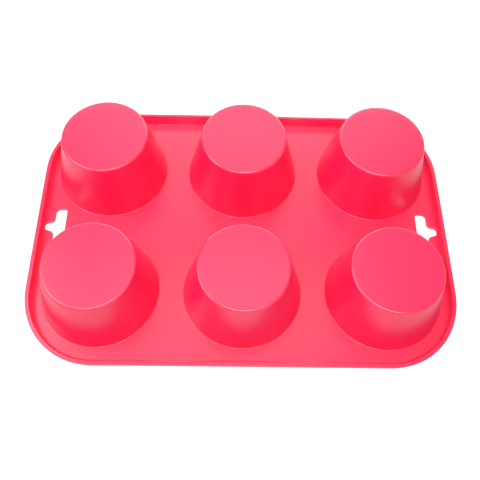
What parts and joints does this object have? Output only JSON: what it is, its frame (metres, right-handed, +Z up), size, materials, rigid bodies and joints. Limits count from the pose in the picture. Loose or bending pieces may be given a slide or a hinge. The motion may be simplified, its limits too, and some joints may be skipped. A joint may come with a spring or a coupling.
{
  "type": "muffin mould",
  "caption": "Flexible silicone muffin mould, lying mouth down: tapered round cups in two rows on a flat deck with a raised lip all round and a hanging slot at each end.",
  "frame": {"origin": "on the floor under the middle of the deck, with the mould lying mouth down on its deck", "axes": "+X along the long side, +Y to the back row, +Z up towards the closed ends of the cups; for baking the mould is turned over, so -Z is up"},
  "size_m": [0.2574, 0.178, 0.0395],
  "materials": {
    "silicone": "satin"
  },
  "bodies": {
    "root": {"deck": "silicone", "hang_tab_left": "silicone", "hang_tab_right": "silicone", "rim": "silicone", "cup_back_left": "silicone", "cup_back_centre": "silicone", "cup_back_right": "silicone", "cup_front_left": "silicone", "cup_front_centre": "silicone", "cup_front_right": "silicone"}
  },
  "joints": []
}
